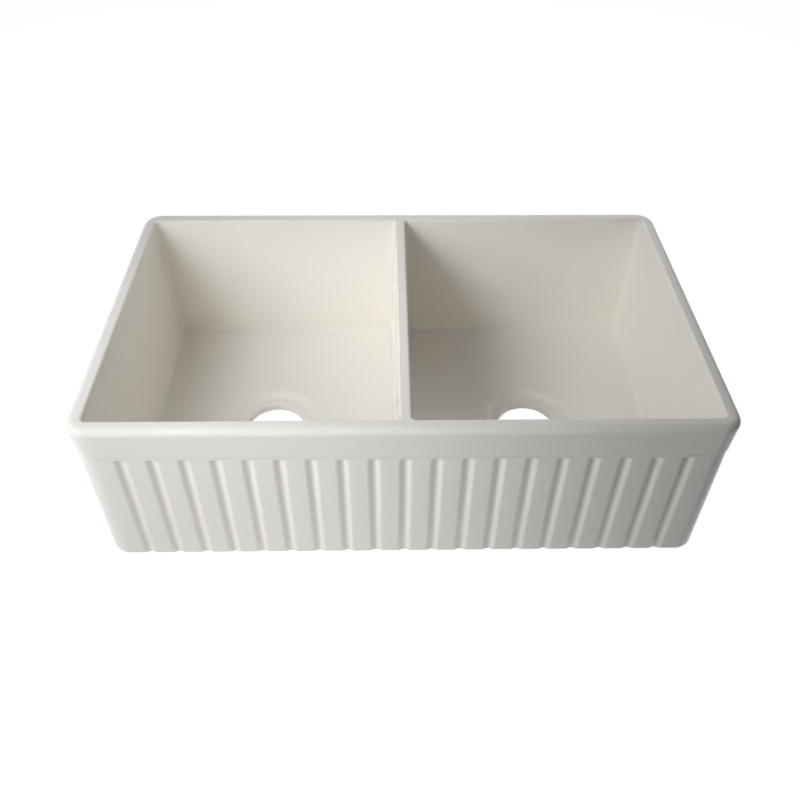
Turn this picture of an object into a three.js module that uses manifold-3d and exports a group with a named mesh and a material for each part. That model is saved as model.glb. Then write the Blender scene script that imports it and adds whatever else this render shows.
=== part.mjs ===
// Farmhouse apron-front kitchen sink in glazed fireclay: two bowls, a proud collar round the top
// and a fluted apron. Millimetres, +Z up, the apron faces -Y, +X runs along the apron to the right.
// The origin is on the ground plane, under the middle of the outline.
//
// The ware is shaped as one hollow body and then parted along flat seams into its members:
// the rim of four lengths, the walls, the divider, the fluted facing, the floors and the drain seats.

import * as THREE from 'three';
import { mergeVertices } from 'three/addons/utils/BufferGeometryUtils.js';
import Module from 'manifold-3d';

const wasm = await Module();
wasm.setup();

// ---------------------------------------------------------------- driving dimensions

// overall
const width = 838;
const depth = 508;
const height = 254;

// outside: the collar, and the body below it
const collarHeight = 50;
const collarLean = 1.5; // the collar's faces lean in this much from the rim to its lower edge
const collarStep = 1; // from the collar's lower edge in to the body
const cornerRadius = 28; // vertical corners of the collar and of the body
const rimRadius = 10; // outer edge of the rim
const footRadius = 12; // edge round the underside

// walls, measured at the rim
const endWall = 20;
const frontWall = 20;
const backWall = 24;
const dividerWall = 16;

// bowls
const floorThickness = 34; // at the edge of the drain dish
const floorFall = 2; // the floor falls this much from the coves to the dish
const wallLean = 7; // a bowl wall leans in this much from rim to floor
const bowlCornerRadius = 6;
const coveRadius = 6; // between wall and floor
const lipRadius = 3.5; // inner edge of the rim

// drains
const drainRadius = 45; // for a 3 1/2 inch strainer
const drainForward = 8; // drain centre in front of the bowl's middle
const drainLip = 3; // rounding of the mouth
const seatWidth = 10; // flat ring round the mouth, for the strainer's flange
const seatThickness = 12; // clay between the flange and the nut
const dishSlope = 12; // sloping ring round the seat
const dishDepth = 10;
const nutRecessMargin = 17; // the recess for the strainer's nut is this much wider than the drain

// flutes
const flutePitch = 40;
const plainEnd = 38; // at least this much of the apron stays plain at each end
const fluteWidth = 16;
const fluteDepth = 3.5;
const fluteTopGap = 1.5; // plain strip between the flutes and the collar

// seams between the members
const facingThickness = 14; // fluted facing, from the flat of its ribs to its back
const seamMargin = 2; // a seam lies this far past the end of a curve
const seatPadMargin = 10; // the drain seat's square pad reaches this far past its widest ring

// facets
const cornerSteps = 7; // per quarter turn, in plan
const edgeSteps = 4; // per quarter turn, across a rounded edge
const fluteSteps = 40; // per full turn of a flute's cutter

// ---------------------------------------------------------------- worked-out sizes

const outline = { x0: -width / 2, x1: width / 2, y0: -depth / 2, y1: depth / 2 };
const collarBase = height - collarHeight;
const bodyInset = collarLean + collarStep;
const floorEdge = floorThickness + floorFall;
const coveTop = floorEdge + coveRadius;

const bowlFront = outline.y0 + frontWall;
const bowlBack = outline.y1 - backWall;
const bowlOuter = width / 2 - endWall;
const bowlInner = dividerWall / 2;
const bowlCentre = (bowlOuter + bowlInner) / 2;

const drainY = (bowlFront + bowlBack) / 2 - drainForward;
const mouthRadius = drainRadius + drainLip;
const seatRadius = mouthRadius + seatWidth;
const dishRadius = seatRadius + dishSlope;
const seatLevel = floorThickness - dishDepth;
const nutRecessRadius = drainRadius + nutRecessMargin;
const nutRecessTop = seatLevel - seatThickness;

const apronFace = outline.y0 + bodyInset;
const fluteCount = Math.floor((width - 2 * plainEnd) / flutePitch);

const clearCut = 2; // a cutter runs this far past the face it opens

// ---------------------------------------------------------------- rings and lofts

// A rectangle with round corners, drawn in by an inset: counter-clockwise from above.
function ringRectangle(plan, inset, radius, z) {
	const r = Math.max(radius, 0.5);
	const [x0, x1] = [plan.x0 + inset + r, plan.x1 - inset - r];
	const [y0, y1] = [plan.y0 + inset + r, plan.y1 - inset - r];
	const corners = [[x1, y1], [x0, y1], [x0, y0], [x1, y0]];
	return corners.flatMap(([x, y], quarter) => Array.from({ length: cornerSteps + 1 }, (_, step) => {
		const angle = (quarter + step / cornerSteps) * Math.PI / 2;
		return new THREE.Vector3(x + r * Math.cos(angle), y + r * Math.sin(angle), z);
	}));
}

// A circle with as many points, which start at the same corner.
function ringCircle(x, y, radius, z) {
	const points = 4 * (cornerSteps + 1);
	return Array.from({ length: points }, (_, i) => {
		const angle = (i + 0.5) / points * 2 * Math.PI;
		return new THREE.Vector3(x + radius * Math.cos(angle), y + radius * Math.sin(angle), z);
	});
}

// The angles at which a rounded edge has a ring, over its quarter turn from one face to the next.
// At an angle, the edge has left the first face by inward and has gone along it by onward.
const quarterTurn = Array.from({ length: edgeSteps + 1 }, (_, i) => i / edgeSteps * Math.PI / 2);
const inward = (radius, angle) => radius * (1 - Math.cos(angle));
const onward = (radius, angle) => radius * Math.sin(angle);

// A closed body through rings that go from its lowest face to its highest one.
function loft(rings) {
	const points = rings[0].length;
	const middle = (ring) => ring.reduce((sum, p) => sum.add(p), new THREE.Vector3()).divideScalar(points);
	const vertices = [...rings.flat(), middle(rings[0]), middle(rings.at(-1))];
	const [bottom, top] = [vertices.length - 2, vertices.length - 1];
	const index = [];
	for (let i = 0; i < points; i++) {
		const next = (i + 1) % points;
		for (let ring = 0; ring < rings.length - 1; ring++) {
			const [low, high] = [ring * points, (ring + 1) * points];
			index.push(low + i, low + next, high + next, low + i, high + next, high + i);
		}
		const last = (rings.length - 1) * points;
		index.push(bottom, next, i, top, last + i, last + next);
	}
	const geometry = new THREE.BufferGeometry().setFromPoints(vertices);
	geometry.setIndex(index);
	return geometry;
}

// ---------------------------------------------------------------- solids

function solid(geometry) {
	const bare = geometry.clone();
	bare.deleteAttribute('normal');
	bare.deleteAttribute('uv');
	const merged = mergeVertices(bare, 1e-5);
	return new wasm.Manifold(new wasm.Mesh({
		numProp: 3,
		vertProperties: new Float32Array(merged.attributes.position.array),
		triVerts: new Uint32Array(merged.index.array),
	}));
}

function block(box) {
	const size = [box.x1 - box.x0, box.y1 - box.y0, box.z1 - box.z0];
	const geometry = new THREE.BoxGeometry(...size);
	return solid(geometry.translate((box.x0 + box.x1) / 2, (box.y0 + box.y1) / 2, (box.z0 + box.z1) / 2));
}

// The outside of the ware, without its hollows.
function outerBody() {
	const ring = (inset, rounding, z) => ringRectangle(outline, inset + rounding, cornerRadius - rounding, z);
	const foot = quarterTurn.toReversed().map((a) => {
		return ring(bodyInset, inward(footRadius, a), footRadius - onward(footRadius, a));
	});
	const rim = quarterTurn.map((a) => {
		return ring(0, inward(rimRadius, a), height - rimRadius + onward(rimRadius, a));
	});
	return solid(loft([
		...foot,
		ring(bodyInset, 0, collarBase),
		ring(collarLean, 0, collarBase + collarStep),
		...rim,
	]));
}

// Everything that is hollow in one bowl: the bowl, the drain's dish and hole, and the recess under it.
function bowlHollow(side) {
	const near = side < 0 ? -bowlOuter : bowlInner;
	const plan = { x0: near, x1: near + bowlOuter - bowlInner, y0: bowlFront, y1: bowlBack };
	const circle = (radius, z) => ringCircle(side * bowlCentre, drainY, radius, z);
	const mouth = quarterTurn.map((a) => {
		return circle(drainRadius + inward(drainLip, a), seatLevel - drainLip + onward(drainLip, a));
	});
	const cove = quarterTurn.toReversed().map((a) => {
		const inset = inward(coveRadius, a);
		return ringRectangle(plan, wallLean + inset, bowlCornerRadius - inset, coveTop - onward(coveRadius, a));
	});
	const lip = quarterTurn.map((a) => {
		const outset = inward(lipRadius, a);
		const level = height - lipRadius + onward(lipRadius, a);
		return ringRectangle(plan, -outset, bowlCornerRadius + outset, level);
	});
	return solid(loft([
		circle(nutRecessRadius, -clearCut),
		circle(nutRecessRadius, nutRecessTop),
		circle(drainRadius, nutRecessTop),
		...mouth,
		circle(seatRadius, seatLevel),
		circle(dishRadius, floorThickness),
		...cove,
		...lip,
		ringRectangle(plan, -lipRadius, bowlCornerRadius + lipRadius, height + clearCut),
	]));
}

// The cutter of one flute: a round bar that sinks into the apron by the flute's depth.
function fluteCutter(x) {
	const radius = (fluteWidth ** 2 / 4 + fluteDepth ** 2) / (2 * fluteDepth);
	const [low, high] = [-clearCut, collarBase - fluteTopGap];
	const bar = new THREE.CylinderGeometry(radius, radius, high - low, fluteSteps).rotateX(Math.PI / 2);
	return solid(bar.translate(x, apronFace + fluteDepth - radius, (low + high) / 2));
}

let ware = outerBody().subtract(bowlHollow(-1)).subtract(bowlHollow(1));
for (let i = 0; i < fluteCount; i++) {
	ware = ware.subtract(fluteCutter((i - (fluteCount - 1) / 2) * flutePitch));
}

// ---------------------------------------------------------------- seams

const seamFloor = coveTop + seamMargin;
const seamFront = bowlFront + wallLean + bowlCornerRadius + seamMargin;
const seamBack = bowlBack - wallLean - bowlCornerRadius - seamMargin;

const across = { x0: outline.x0, x1: outline.x1 };
const frontBand = { y0: outline.y0, y1: seamFront };
const middleBand = { y0: seamFront, y1: seamBack };
const backBand = { y0: seamBack, y1: outline.y1 };
const leftEnd = { x0: outline.x0, x1: -bowlCentre };
const rightEnd = { x0: bowlCentre, x1: outline.x1 };
const dividerBay = { x0: -bowlCentre, x1: bowlCentre };
const footing = { z0: 0, z1: seamFloor };
const walling = { z0: seamFloor, z1: collarBase };
const collar = { z0: collarBase, z1: height };

const facing = block({
	x0: -fluteCount * flutePitch / 2,
	x1: fluteCount * flutePitch / 2,
	y0: outline.y0,
	y1: apronFace + facingThickness,
	z0: 0,
	z1: collarBase,
});

function seatPad(side) {
	const reach = Math.max(dishRadius, nutRecessRadius) + seatPadMargin;
	const x = side * bowlCentre;
	return block({ x0: x - reach, x1: x + reach, y0: drainY - reach, y1: drainY + reach, ...footing });
}

function floorMember(side) {
	const half = side < 0 ? { x1: 0 } : { x0: 0 };
	const slab = ware.intersect(block({ ...outline, ...half, ...footing }));
	return slab.subtract(facing).subtract(seatPad(side));
}

const members = {
	front_rim: ware.intersect(block({ ...across, ...frontBand, ...collar })),
	back_rim: ware.intersect(block({ ...across, ...backBand, ...collar })),
	left_rim: ware.intersect(block({ ...leftEnd, ...middleBand, ...collar })),
	right_rim: ware.intersect(block({ ...rightEnd, ...middleBand, ...collar })),
	bowl_divider: ware.intersect(block({ ...dividerBay, ...middleBand, z0: seamFloor, z1: height })),
	fluted_apron: ware.intersect(facing),
	front_wall: ware.intersect(block({ ...across, ...frontBand, ...walling })).subtract(facing),
	back_wall: ware.intersect(block({ ...across, ...backBand, ...walling })),
	left_end_wall: ware.intersect(block({ ...leftEnd, ...middleBand, ...walling })),
	right_end_wall: ware.intersect(block({ ...rightEnd, ...middleBand, ...walling })),
	left_bowl_floor: floorMember(-1),
	right_bowl_floor: floorMember(1),
	left_drain_seat: ware.intersect(seatPad(-1)),
	right_drain_seat: ware.intersect(seatPad(1)),
};

// ---------------------------------------------------------------- scene graph

const glaze = new THREE.MeshStandardMaterial({ color: 0xe6dfd2, roughness: 0.12, metalness: 0 });

function meshOf(name, manifold) {
	const { vertProperties, triVerts } = manifold.getMesh();
	const geometry = new THREE.BufferGeometry();
	geometry.setAttribute('position', new THREE.BufferAttribute(vertProperties, 3));
	geometry.setIndex(new THREE.BufferAttribute(triVerts, 1));
	geometry.computeVertexNormals();
	const mesh = new THREE.Mesh(geometry, glaze);
	mesh.name = name;
	return mesh;
}

const sink = new THREE.Group();
for (const [name, manifold] of Object.entries(members)) sink.add(meshOf(name, manifold));

export default sink;
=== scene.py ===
import math

import bmesh
import bpy
from mathutils import Matrix, Vector


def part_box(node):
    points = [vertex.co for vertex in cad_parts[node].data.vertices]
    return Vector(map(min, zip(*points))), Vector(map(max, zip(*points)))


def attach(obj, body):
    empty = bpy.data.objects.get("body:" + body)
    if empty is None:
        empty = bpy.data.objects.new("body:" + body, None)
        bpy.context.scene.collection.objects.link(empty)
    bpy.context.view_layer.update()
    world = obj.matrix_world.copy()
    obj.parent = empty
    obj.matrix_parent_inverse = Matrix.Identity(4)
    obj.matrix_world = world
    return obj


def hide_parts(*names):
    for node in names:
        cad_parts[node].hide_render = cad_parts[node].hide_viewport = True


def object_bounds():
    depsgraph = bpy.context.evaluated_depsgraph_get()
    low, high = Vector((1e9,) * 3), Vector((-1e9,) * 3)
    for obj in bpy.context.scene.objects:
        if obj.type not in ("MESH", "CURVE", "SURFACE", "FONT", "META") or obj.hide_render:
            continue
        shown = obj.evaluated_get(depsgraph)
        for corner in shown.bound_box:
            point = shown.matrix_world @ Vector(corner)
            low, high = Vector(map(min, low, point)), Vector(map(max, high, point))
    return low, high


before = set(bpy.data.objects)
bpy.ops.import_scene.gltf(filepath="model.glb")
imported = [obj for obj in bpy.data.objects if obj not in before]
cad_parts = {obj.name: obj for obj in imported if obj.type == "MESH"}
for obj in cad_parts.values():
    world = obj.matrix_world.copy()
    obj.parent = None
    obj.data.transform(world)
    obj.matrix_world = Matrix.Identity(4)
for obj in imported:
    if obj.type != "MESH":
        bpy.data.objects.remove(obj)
cad_low, cad_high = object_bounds()

# ---------------------------------------------------------------- sizes

MM = 0.001

# outside: the collar, and the body below it
CORNER_RADIUS = 28 * MM
RIM_RADIUS = 10 * MM
FOOT_RADIUS = 12 * MM
COLLAR_LEAN = 1.5 * MM
COLLAR_NOSE_RADIUS = 0.8 * MM  # lower edge of the collar
QUIRK_HEIGHT = 1.2 * MM  # the fine groove under the collar
QUIRK_DEPTH = 0.6 * MM

# walls, measured at the rim
END_WALL = 20 * MM
FRONT_WALL = 20 * MM
BACK_WALL = 24 * MM
DIVIDER_WALL = 16 * MM

# bowls
FLOOR_LEVEL = 34 * MM  # at the edge of the drain dish
FLOOR_FALL = 2 * MM
WALL_LEAN = 7 * MM
BOWL_CORNER_RADIUS = 6 * MM
COVE_RADIUS = 6 * MM
LIP_RADIUS = 3.5 * MM

# drains
DRAIN_RADIUS = 45 * MM
DRAIN_LIP = 3 * MM
SEAT_WIDTH = 10 * MM
SEAT_THICKNESS = 12 * MM
DISH_SLOPE = 12 * MM
DISH_DEPTH = 10 * MM
NUT_RECESS_MARGIN = 17 * MM

# flutes
FLUTE_PITCH = 40 * MM
FLUTE_WIDTH = 22 * MM
FLUTE_DEPTH = 3.9 * MM
FLUTE_TOP_GAP = 1 * MM
FLUTE_END = 4 * MM  # a flute shallows out over this length at its top
FLUTE_FULLNESS = 4.0  # 1 is a round groove with sharp edges, more softens them
FLUTE_RUN_OUT = 0.4  # less keeps the depth further down round the foot

# mesh fineness
LEAST_RADIUS = 0.5 * MM  # of a corner in plan, so that its points stay apart
CORNER_STEPS = 12  # per quarter turn, in plan
SIDE_STEPS = 24  # per straight side, in plan
EDGE_STEPS = 8  # per quarter turn, across a rounded edge
FLOOR_STEPS = 5
FLUTE_COLUMNS = 28  # per pitch
FLUTE_ROWS = 12  # from the foot's rounding to where the flutes end
FLUTE_END_ROWS = 14  # from there to the groove under the collar

CLEAR = 20 * MM  # a cutter runs this far past what it cuts

# places that the solids give
HEIGHT = cad_high.z
COLLAR_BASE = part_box("front_rim")[0].z
BODY_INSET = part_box("back_wall")[0].x - cad_low.x
COLLAR_UNDERSIDE = COLLAR_BASE + 0.3 * MM  # just over the seam, which lies in the groove
SHOULDER_LEVEL = COLLAR_UNDERSIDE - QUIRK_HEIGHT - QUIRK_DEPTH
COVE_TOP = FLOOR_LEVEL + FLOOR_FALL + COVE_RADIUS
BOWL_FRONT = cad_low.y + FRONT_WALL
BOWL_BACK = cad_high.y - BACK_WALL
BOWL_OUTER = cad_high.x - END_WALL
BOWL_INNER = DIVIDER_WALL / 2
SEAT_LEVEL = FLOOR_LEVEL - DISH_DEPTH


# ---------------------------------------------------------------- rings and lofts


def quarter(radius):
    """How far in and how far along a rounded edge has gone, at each step of its quarter turn."""
    turns = [step / EDGE_STEPS * math.pi / 2 for step in range(EDGE_STEPS + 1)]
    return [(radius * (1 - math.cos(a)), radius * math.sin(a)) for a in turns]


def plan_ring(x0, x1, y0, y1, radius, z):
    """Points round a rectangle with round corners, counter-clockwise from above."""
    radius = max(radius, LEAST_RADIUS)
    x0, x1, y0, y1 = x0 + radius, x1 - radius, y0 + radius, y1 - radius
    corners = [Vector((x1, y1, z)), Vector((x0, y1, z)), Vector((x0, y0, z)), Vector((x1, y0, z))]
    points = []
    for number, corner in enumerate(corners):
        for step in range(CORNER_STEPS + 1):
            angle = (number + step / CORNER_STEPS) * math.pi / 2
            out = radius * Vector((math.cos(angle), math.sin(angle), 0))
            points.append(corner + out)
        following = corners[(number + 1) % 4]
        for step in range(1, SIDE_STEPS):
            points.append(corner.lerp(following, step / SIDE_STEPS) + out)
    return points


def round_ring(centre, radius, z, like):
    """Points round a circle, each in the direction of the same point of another ring."""
    points = []
    for point in like:
        angle = math.atan2(point.y - centre.y, point.x - centre.x)
        points.append(Vector((centre.x + radius * math.cos(angle), centre.y + radius * math.sin(angle), z)))
    return points


def extrude_ring(bm, ring, points):
    """Extrudes a ring of vertices to new places and returns the new ring."""
    held = set(ring)
    edges = {edge for vert in ring for edge in vert.link_edges if edge.other_vert(vert) in held}
    made = bmesh.ops.extrude_edge_only(bm, edges=list(edges))["geom"]
    fresh = {item for item in made if isinstance(item, bmesh.types.BMVert)}
    raised = []
    for vert, point in zip(ring, points):
        twin = next(e.other_vert(vert) for e in vert.link_edges if e.other_vert(vert) in fresh)
        twin.co = point
        raised.append(twin)
    return raised


def new_object(name, bm):
    mesh = bpy.data.meshes.new(name)
    bm.to_mesh(mesh)
    bm.free()
    piece = bpy.data.objects.new(name, mesh)
    bpy.context.scene.collection.objects.link(piece)
    return piece


def loft(name, rings):
    """A closed body through rings of points, from its lowest to its highest."""
    bm = bmesh.new()
    ring = bmesh.ops.create_circle(bm, segments=len(rings[0]), radius=1)["verts"]
    for vert, point in zip(ring, rings[0]):
        vert.co = point
    bmesh.ops.contextual_create(bm, geom=ring)
    for points in rings[1:]:
        ring = extrude_ring(bm, ring, points)
    bmesh.ops.contextual_create(bm, geom=ring)
    bmesh.ops.recalc_face_normals(bm, faces=bm.faces)
    return new_object(name, bm)


def block(name, low, high):
    bm = bmesh.new()
    middle, size = (low + high) / 2, high - low
    bmesh.ops.create_cube(bm, size=1, matrix=Matrix.Translation(middle) @ Matrix.Diagonal((*size, 1)))
    return new_object(name, bm)


def cut(piece, other, operation):
    """Joins a piece with another by a boolean, and leaves the result in its mesh."""
    boolean = piece.modifiers.new(operation, "BOOLEAN")
    boolean.operation = operation
    boolean.solver = "MANIFOLD"
    boolean.object = other
    evaluated = piece.evaluated_get(bpy.context.evaluated_depsgraph_get())
    mesh = bpy.data.meshes.new_from_object(evaluated)
    piece.modifiers.clear()
    piece.data = mesh


# ---------------------------------------------------------------- the whole ware


def outer_ware():
    """The outside, from the foot up to the rim, without the bowls."""

    def ring(inset, rounding, z):
        inset += rounding
        sides = (cad_low.x + inset, cad_high.x - inset, cad_low.y + inset, cad_high.y - inset)
        return plan_ring(*sides, CORNER_RADIUS - rounding, z)

    foot = [ring(BODY_INSET, inward, FOOT_RADIUS - along) for inward, along in reversed(quarter(FOOT_RADIUS))]
    shoulder = [ring(BODY_INSET, inward, SHOULDER_LEVEL + along) for inward, along in quarter(QUIRK_DEPTH)]
    nose = [
        ring(COLLAR_LEAN, inward, COLLAR_UNDERSIDE + COLLAR_NOSE_RADIUS - along)
        for inward, along in reversed(quarter(COLLAR_NOSE_RADIUS))
    ]
    rim = [ring(0, inward, HEIGHT - RIM_RADIUS + along) for inward, along in quarter(RIM_RADIUS)]
    return loft("ware", [*foot, *shoulder, ring(BODY_INSET, QUIRK_DEPTH, COLLAR_UNDERSIDE), *nose, *rim])


def bowl_hollow(side):
    """All that is hollow in one bowl, from the nut recess up through the drain to above the rim."""
    x0, x1 = sorted((side * BOWL_OUTER, side * BOWL_INNER))
    seat_low, seat_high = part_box("left_drain_seat" if side < 0 else "right_drain_seat")
    drain = (seat_low + seat_high) / 2

    def wall(inset, radius, z):
        return plan_ring(x0 + inset, x1 - inset, BOWL_FRONT + inset, BOWL_BACK - inset, radius, z)

    cove = [
        wall(WALL_LEAN + inward, BOWL_CORNER_RADIUS - inward, COVE_TOP - along)
        for inward, along in reversed(quarter(COVE_RADIUS))
    ]
    foot = cove[0]

    def circle(radius, z):
        return round_ring(drain, radius, z, foot)

    nut_top = SEAT_LEVEL - SEAT_THICKNESS
    nut_radius = DRAIN_RADIUS + NUT_RECESS_MARGIN
    seat_radius = DRAIN_RADIUS + DRAIN_LIP + SEAT_WIDTH
    rings = [circle(nut_radius, -CLEAR), circle(nut_radius, nut_top), circle(DRAIN_RADIUS, nut_top)]
    for inward, along in quarter(DRAIN_LIP):
        rings.append(circle(DRAIN_RADIUS + inward, SEAT_LEVEL - DRAIN_LIP + along))
    for step in range(EDGE_STEPS + 1):
        share = step / EDGE_STEPS
        rise = DISH_DEPTH * (1 - math.cos(share * math.pi)) / 2
        rings.append(circle(seat_radius + DISH_SLOPE * share, SEAT_LEVEL + rise))
    dish = rings[-1]
    for step in range(1, FLOOR_STEPS):
        rings.append([a.lerp(b, step / FLOOR_STEPS) for a, b in zip(dish, foot)])
    rings += cove
    for inward, along in quarter(LIP_RADIUS):
        rings.append(wall(-inward, BOWL_CORNER_RADIUS + inward, HEIGHT - LIP_RADIUS + along))
    rings.append(wall(-LIP_RADIUS, BOWL_CORNER_RADIUS + LIP_RADIUS, HEIGHT + CLEAR))
    return loft("hollow", rings)


def flute_depth(x, z):
    """How deep a flute is sunk into the apron at a point of its face."""
    off_centre = (x / FLUTE_PITCH + 0.5) % 1 - 0.5
    across = 2 * off_centre * FLUTE_PITCH / FLUTE_WIDTH
    below_top = SHOULDER_LEVEL - FLUTE_TOP_GAP - z
    shallow = max(0, 1 - below_top / FLUTE_END)
    left = max(0, 1 - across**2 - shallow**2)
    runs_out = min(1, z / FOOT_RADIUS) ** FLUTE_RUN_OUT
    return FLUTE_DEPTH * runs_out * left**FLUTE_FULLNESS


def fluted_facing():
    """The facing slab: its front is a grid that the flutes sink into, and its foot is rounded."""
    low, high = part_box("fluted_apron")
    columns = round((high.x - low.x) / FLUTE_PITCH) * FLUTE_COLUMNS
    # each row's inset from the face, and its level
    levels = [(inward, FOOT_RADIUS - along) for inward, along in reversed(quarter(FOOT_RADIUS))]
    flute_end = SHOULDER_LEVEL - FLUTE_TOP_GAP - FLUTE_END
    for step in range(1, FLUTE_ROWS):
        levels.append((0, FOOT_RADIUS + (flute_end - FOOT_RADIUS) * step / FLUTE_ROWS))
    for step in range(FLUTE_END_ROWS):
        levels.append((0, flute_end + (SHOULDER_LEVEL - flute_end) * step / FLUTE_END_ROWS))
    levels += [(inward, SHOULDER_LEVEL + along) for inward, along in quarter(QUIRK_DEPTH)]
    levels.append((QUIRK_DEPTH, high.z))
    bm = bmesh.new()
    bmesh.ops.create_grid(bm, x_segments=columns, y_segments=len(levels) - 1, size=0.5)
    for vert in bm.verts:
        inset, z = levels[round((vert.co.y + 0.5) * (len(levels) - 1))]
        x = low.x + (vert.co.x + 0.5) * (high.x - low.x)
        vert.co = (x, low.y + inset + flute_depth(x, z), z)
    rim = [edge for edge in bm.edges if edge.is_boundary]
    made = bmesh.ops.extrude_edge_only(bm, edges=rim)["geom"]
    back = [item for item in made if isinstance(item, bmesh.types.BMVert)]
    for vert in back:
        vert.co.y = high.y
    bmesh.ops.holes_fill(bm, edges=[edge for edge in bm.edges if edge.is_boundary], sides=0)
    bmesh.ops.recalc_face_normals(bm, faces=bm.faces)
    return new_object("fluted_apron_glazed", bm)


# ---------------------------------------------------------------- the members

# Each member with the sides on which a seam parts it from its neighbours.
SEAMS = {
    "front_rim": "+y -z",
    "back_rim": "-y -z",
    "left_rim": "-y +y -z",
    "right_rim": "-y +y -z",
    "bowl_divider": "-y +y -z",
    "front_wall": "+y -z +z",
    "back_wall": "-y -z +z",
    "left_end_wall": "-y +y -z +z",
    "right_end_wall": "-y +y -z +z",
    "left_bowl_floor": "+x +z",
    "right_bowl_floor": "-x +z",
    "left_drain_seat": "-x +x -y +y",
    "right_drain_seat": "-x +x -y +y",
    "fluted_apron": "-x +x +y +z",
}
# What is taken out of a member besides.
TAKEN_OUT = {
    "front_wall": ["fluted_apron"],
    "left_bowl_floor": ["fluted_apron", "left_drain_seat"],
    "right_bowl_floor": ["fluted_apron", "right_drain_seat"],
}

SHARP_ANGLE = math.radians(50)  # an edge that turns further than this stays sharp
FLAT_WEIGHT = 90  # how far the shading follows the larger faces


def cell(node):
    """The block that a member is cut with: its own box, run out past the ware on the sides without a seam."""
    low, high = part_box(node)
    seams = SEAMS[node].split()
    for number, axis in enumerate("xyz"):
        if f"-{axis}" not in seams:
            low[number] -= CLEAR
        if f"+{axis}" not in seams:
            high[number] += CLEAR
    return block(f"cell_{node}", low, high)


def finish_piece(piece, node, material):
    piece.data.materials.clear()
    piece.data.materials.append(material)
    piece.data.polygons.foreach_set("use_smooth", [True] * len(piece.data.polygons))
    piece.data.set_sharp_from_angle(angle=SHARP_ANGLE)
    weighted = piece.modifiers.new("even_shading", "WEIGHTED_NORMAL")
    weighted.keep_sharp = True
    weighted.weight = FLAT_WEIGHT
    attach(piece, "root")
    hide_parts(node)


def make_members(material):
    ware = outer_ware()
    for side in (-1, 1):
        hollow = bowl_hollow(side)
        cut(ware, hollow, "DIFFERENCE")
        bpy.data.objects.remove(hollow)
    cells = {node: cell(node) for node in SEAMS}
    for node in SEAMS:
        if node == "fluted_apron":
            piece = fluted_facing()
        else:
            piece = bpy.data.objects.new(f"{node}_glazed", ware.data.copy())
            bpy.context.scene.collection.objects.link(piece)
            cut(piece, cells[node], "INTERSECT")
            for other in TAKEN_OUT.get(node, []):
                cut(piece, cells[other], "DIFFERENCE")
        finish_piece(piece, node, material)
    for scratch in (ware, *cells.values()):
        bpy.data.objects.remove(scratch)


# ---------------------------------------------------------------- materials

# A pattern's scale is in cells per metre.
CLOUD_SCALE = 9.0
CLOUD_DEPTH = 0.16  # share of the deep colour in the thickest clouds
HAZE_SCALE = 30.0  # the gloss is uneven
HAZE_RANGE = (-0.01, 0.02)  # added to its roughness
WAVE_SCALE = 7.0
WAVE_HEIGHT = 0.06 * MM
PEEL_SCALE = 60.0
PEEL_HEIGHT = 0.002 * MM
PINHOLE_SCALE = 160.0
PINHOLE_SHARE = 0.02  # of the cells that may hold one
PINHOLE_EDGE = 0.09  # in cells, from its middle
PINHOLE_FLOOR = 0.05
PINHOLE_DEPTH = 0.03 * MM
PINHOLE_TINT = 0.4
PINHOLE_COLOUR = (0.42, 0.33, 0.22, 1)

LINE_SCALE = 60.0
LINE_WANDER = 1.2 * MM  # how far the edge of the glaze strays up and down
LINE_BLUR = 0.4 * MM
WIPED_LEVEL = 25 * MM  # what faces down is bare up to here, in the nut recesses too

CLAY_SCALE = 420.0
CLAY_GRAIN = 0.25 * MM
CLAY_ROUGHNESS = 0.75
DARK_CLAY = (0.50, 0.42, 0.33, 1)
LIGHT_CLAY = (0.70, 0.62, 0.51, 1)


def new_group(name, inputs, outputs):
    tree = bpy.data.node_groups.new(name, "ShaderNodeTree")
    for kind, socket, value in inputs:
        made = tree.interface.new_socket(socket, in_out="INPUT", socket_type=f"NodeSocket{kind}")
        made.default_value = value
    for kind, socket in outputs:
        tree.interface.new_socket(socket, in_out="OUTPUT", socket_type=f"NodeSocket{kind}")
    return tree


def add_node(tree, kind, inputs=None, **settings):
    """A shader node with its settings, and its inputs set or linked by name or number."""
    node = tree.nodes.new(f"ShaderNode{kind}")
    for key, value in settings.items():
        setattr(node, key, value)
    for key, value in (inputs or {}).items():
        if isinstance(value, bpy.types.NodeSocket):
            tree.links.new(value, node.inputs[key])
        else:
            node.inputs[key].default_value = value
    return node


def maths(tree, operation, *values):
    inputs = dict(enumerate(values))
    return add_node(tree, "Math", inputs, operation=operation).outputs[0]


def fade(tree, value, start, end, low=0.0, high=1.0):
    """A smooth step of a value, from low at start to high at end."""
    inputs = {"Value": value, "From Min": start, "From Max": end, "To Min": low, "To Max": high}
    return add_node(tree, "MapRange", inputs, interpolation_type="SMOOTHSTEP").outputs["Result"]


def mix_colour(tree, share, first, second):
    """A blend of two colours. Sockets 0, 6 and 7 of the node, and its output 2, are those for colours."""
    return add_node(tree, "Mix", {0: share, 6: first, 7: second}, data_type="RGBA").outputs[2]


def noise(tree, place, scale, detail):
    return add_node(tree, "TexNoise", {"Vector": place, "Scale": scale, "Detail": detail}).outputs["Fac"]


def pinholes(tree, place):
    """1 in the pinholes of the glaze: a dot in each of a few cells chosen by chance."""
    cells = add_node(tree, "TexVoronoi", {"Vector": place, "Scale": PINHOLE_SCALE}).outputs
    dot = fade(tree, cells["Distance"], PINHOLE_EDGE, PINHOLE_FLOOR)
    chance = add_node(tree, "SeparateColor", {"Color": cells["Color"]}).outputs[0]
    return maths(tree, "MULTIPLY", dot, maths(tree, "GREATER_THAN", chance, 1 - PINHOLE_SHARE))


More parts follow.
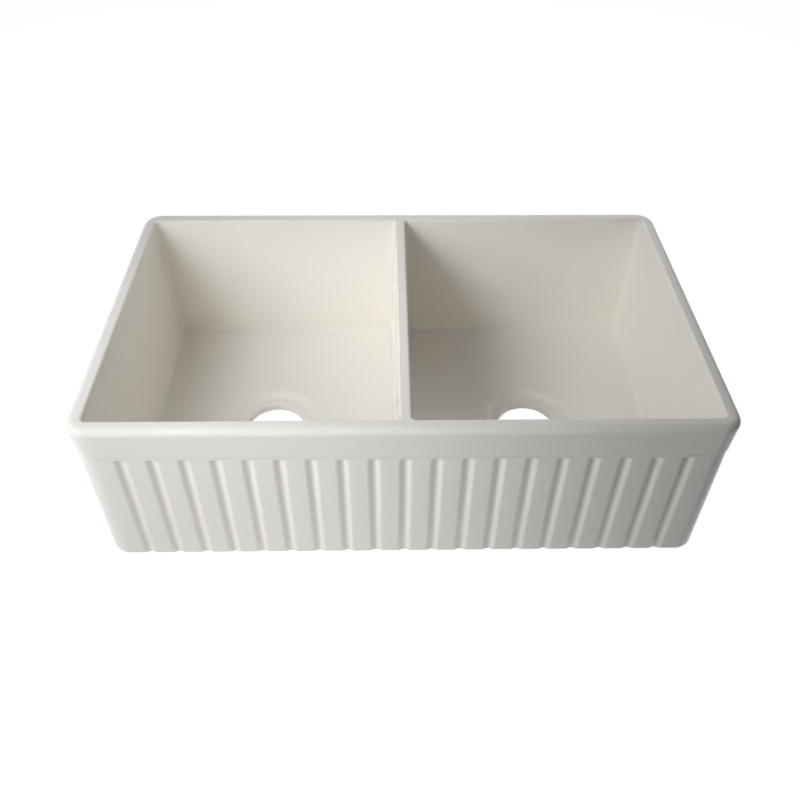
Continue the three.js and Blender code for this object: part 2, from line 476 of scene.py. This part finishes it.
def glaze_group():
    """The glaze: its cloudy tint, its pinholes, its gloss and the slow waves and peel of its surface."""
    tree = new_group(
        "glaze_skin",
        [
            ("Color", "Glaze", (0.92, 0.89, 0.838, 1)),
            ("Color", "Deep Glaze", (0.895, 0.855, 0.775, 1)),
            ("Float", "Gloss Roughness", 0.08),
        ],
        [("Color", "Color"), ("Float", "Roughness"), ("Float", "Height")],
    )
    given = tree.nodes.new("NodeGroupInput").outputs
    place = add_node(tree, "TexCoord").outputs["Object"]
    cloudy = fade(tree, noise(tree, place, CLOUD_SCALE, 3.0), 0.35, 0.75, 0.0, CLOUD_DEPTH)
    tint = mix_colour(tree, cloudy, given["Glaze"], given["Deep Glaze"])
    pinhole = pinholes(tree, place)
    colour = mix_colour(tree, maths(tree, "MULTIPLY", pinhole, PINHOLE_TINT), tint, PINHOLE_COLOUR)
    haze = fade(tree, noise(tree, place, HAZE_SCALE, 4.0), 0.3, 0.8, *HAZE_RANGE)
    roughness = maths(tree, "ADD", given["Gloss Roughness"], haze)
    wave = maths(tree, "MULTIPLY", noise(tree, place, WAVE_SCALE, 1.0), WAVE_HEIGHT)
    peel = maths(tree, "MULTIPLY", noise(tree, place, PEEL_SCALE, 1.0), PEEL_HEIGHT)
    pit = maths(tree, "MULTIPLY", pinhole, PINHOLE_DEPTH)
    height = maths(tree, "SUBTRACT", maths(tree, "ADD", wave, peel), pit)
    outputs = tree.nodes.new("NodeGroupOutput")
    tree.links.new(colour, outputs.inputs["Color"])
    tree.links.new(roughness, outputs.inputs["Roughness"])
    tree.links.new(height, outputs.inputs["Height"])
    return tree


def wiped_group():
    """Where the glaze is wiped off before firing: the foot and all that faces down under the ware."""
    tree = new_group("wiped_foot", [("Float", "Glaze Line", 1.5 * MM)], [("Float", "Bare")])
    glaze_line = tree.nodes.new("NodeGroupInput").outputs["Glaze Line"]
    place = add_node(tree, "TexCoord").outputs["Object"]
    level = add_node(tree, "SeparateXYZ", {"Vector": place}).outputs["Z"]
    stray = maths(tree, "MULTIPLY", noise(tree, place, LINE_SCALE, 3.0), LINE_WANDER)
    foot = add_node(tree, "MapRange", {
        "Value": maths(tree, "ADD", level, stray),
        "From Min": glaze_line,
        "From Max": maths(tree, "ADD", glaze_line, LINE_BLUR),
        "To Min": 1.0,
        "To Max": 0.0,
    }).outputs["Result"]
    normal = add_node(tree, "NewGeometry").outputs["Normal"]
    facing = add_node(tree, "SeparateXYZ", {"Vector": normal}).outputs["Z"]
    low = fade(tree, level, WIPED_LEVEL + 5 * MM, WIPED_LEVEL)
    under = maths(tree, "MULTIPLY", fade(tree, facing, -0.6, -0.8), low)
    outputs = tree.nodes.new("NodeGroupOutput")
    tree.links.new(maths(tree, "MAXIMUM", foot, under), outputs.inputs["Bare"])
    return tree


def place_group(tree, group):
    node = tree.nodes.new("ShaderNodeGroup")
    node.node_tree = group
    return node.outputs


def glazed_fireclay():
    """Biscuit glaze over fireclay, bare on the foot."""
    material = bpy.data.materials.new("glazed_fireclay")
    material.use_nodes = True
    tree = material.node_tree
    tree.nodes.clear()
    skin = place_group(tree, glaze_group())
    bare = place_group(tree, wiped_group())["Bare"]
    grain = noise(tree, add_node(tree, "TexCoord").outputs["Object"], CLAY_SCALE, 5.0)
    clay = mix_colour(tree, grain, DARK_CLAY, LIGHT_CLAY)
    dry = maths(tree, "MULTIPLY", bare, CLAY_ROUGHNESS)
    grit = maths(tree, "MULTIPLY", maths(tree, "MULTIPLY", grain, bare), CLAY_GRAIN)
    height = maths(tree, "ADD", skin["Height"], grit)
    bump = add_node(tree, "Bump", {"Height": height, "Strength": 1.0, "Distance": 1.0})
    shader = add_node(tree, "BsdfPrincipled", {
        "Base Color": mix_colour(tree, bare, skin["Color"], clay),
        "Roughness": maths(tree, "MAXIMUM", skin["Roughness"], dry),
        "Normal": bump.outputs["Normal"],
        "IOR": 1.5,
    })
    output = tree.nodes.new("ShaderNodeOutputMaterial")
    tree.links.new(shader.outputs[0], output.inputs[0])
    return material


# ---------------------------------------------------------------- stage, lights, camera

GROUND_REACH = 12  # metres
GROUND_GLOW = 0.97  # with the faint shading of the ground this makes white
WORLD_FILL = 0.03  # strength of the world on the ware, where 1 is the white that is seen
LIT_MIDDLE = (0, 0, 0.13)  # what the lamps are turned to


def sees_studio(tree):
    """1 for the rays that see the white studio itself: the camera's, and those in gloss and glass."""
    path = add_node(tree, "LightPath").outputs
    mirrored = maths(tree, "MAXIMUM", path["Is Glossy Ray"], path["Is Transmission Ray"])
    return maths(tree, "MAXIMUM", path["Is Camera Ray"], mirrored)


def make_floor():
    """A pale ground that reads as white to the camera and still takes the ware's soft shadow."""
    bm = bmesh.new()
    bmesh.ops.create_grid(bm, x_segments=1, y_segments=1, size=GROUND_REACH)
    floor = new_object("ground", bm)
    material = bpy.data.materials.new("pale_ground")
    material.use_nodes = True
    tree = material.node_tree
    tree.nodes.clear()
    matt = add_node(tree, "BsdfDiffuse", {"Color": (0.8, 0.8, 0.8, 1)})
    faint = add_node(tree, "BsdfDiffuse", {"Color": (0.2, 0.2, 0.2, 1)})
    glow = add_node(tree, "Emission", {"Color": (1, 1, 1, 1), "Strength": GROUND_GLOW})
    white = add_node(tree, "AddShader", {0: faint.outputs[0], 1: glow.outputs[0]})
    mixed = add_node(tree, "MixShader", {0: sees_studio(tree), 1: matt.outputs[0], 2: white.outputs[0]})
    output = tree.nodes.new("ShaderNodeOutputMaterial")
    tree.links.new(mixed.outputs[0], output.inputs[0])
    floor.data.materials.append(material)


def make_world():
    world = bpy.data.worlds.new("studio")
    world.use_nodes = True
    tree = world.node_tree
    tree.nodes.clear()
    strength = fade(tree, sees_studio(tree), 0.0, 1.0, WORLD_FILL, 1.0)
    walls = add_node(tree, "Background", {"Color": (1, 1, 1, 1), "Strength": strength})
    output = tree.nodes.new("ShaderNodeOutputWorld")
    tree.links.new(walls.outputs[0], output.inputs[0])
    bpy.context.scene.world = world


def soft_box(name, place, aim, side, power, colour=(1, 1, 1), spread=180):
    """A square lamp that shows neither in the picture nor in the gloss. Its spread is in degrees."""
    lamp = bpy.data.lights.new(name, "AREA")
    lamp.size = side
    lamp.energy = power
    lamp.color = colour
    lamp.spread = math.radians(spread)
    holder = bpy.data.objects.new(name, lamp)
    holder.location = place
    holder.rotation_euler = (Vector(aim) - Vector(place)).to_track_quat("-Z", "Y").to_euler()
    holder.visible_camera = False
    holder.visible_glossy = False
    bpy.context.scene.collection.objects.link(holder)
    return holder


def make_lights():
    soft_box("key", (-0.835, -0.7, 0.84), LIT_MIDDLE, 0.8, 7.8, (0.975, 0.985, 1.0))
    soft_box("bowls", (-0.6, -0.35, 0.9), (0.1, 0.15, 0.1), 0.4, 0.5, (0.92, 0.97, 1.0), 60)
    soft_box("apron", (-0.1, -0.8, 0.3), (-0.1, -0.25, 0.15), 0.4, 0.14, spread=70)
    soft_box("top", (0, -0.3, 1.3), LIT_MIDDLE, 0.5, 0.4, (1.0, 0.9, 0.78))
    soft_box("right_back", (0.5, 0.7, 0.8), LIT_MIDDLE, 0.5, 1.4)
    soft_box("behind", (0, 1.88, 0.81), LIT_MIDDLE, 1.2, 10.0)
    soft_box("sparkle", (-0.48, -0.85, 0.85), LIT_MIDDLE, 0.12, 0.42).visible_glossy = True


# the photograph's camera
SENSOR_WIDTH = 36
PICTURE_PIXELS = 800
FOCAL_PIXELS = 808.24
OPTICAL_CENTRE = (399.23, 413.98)  # in the picture, from its upper left corner
CAMERA_PITCH = math.radians(44.28)  # down from the horizon
CAMERA_YAW = math.radians(1.21)
CAMERA_ROLL = math.radians(0.50)
CAMERA_PLACE = (-0.0232, cad_low.y - 0.6876, 0.9529)


def make_camera():
    camera = bpy.data.cameras.new("camera")
    camera.sensor_width = SENSOR_WIDTH
    camera.lens = FOCAL_PIXELS / PICTURE_PIXELS * SENSOR_WIDTH
    camera.shift_x = 0.5 - OPTICAL_CENTRE[0] / PICTURE_PIXELS
    camera.shift_y = OPTICAL_CENTRE[1] / PICTURE_PIXELS - 0.5
    holder = bpy.data.objects.new("camera", camera)
    aim = Matrix.Rotation(-CAMERA_YAW, 4, "Z") @ Matrix.Rotation(math.pi / 2 - CAMERA_PITCH, 4, "X")
    holder.matrix_world = Matrix.Translation(CAMERA_PLACE) @ aim @ Matrix.Rotation(CAMERA_ROLL, 4, "Z")
    bpy.context.scene.collection.objects.link(holder)
    bpy.context.scene.camera = holder


bpy.context.scene.view_settings.view_transform = "Standard"
bpy.context.scene.cycles.diffuse_bounces = 8  # the bowls light themselves
make_camera()
make_members(glazed_fireclay())
make_floor()
make_world()
make_lights()
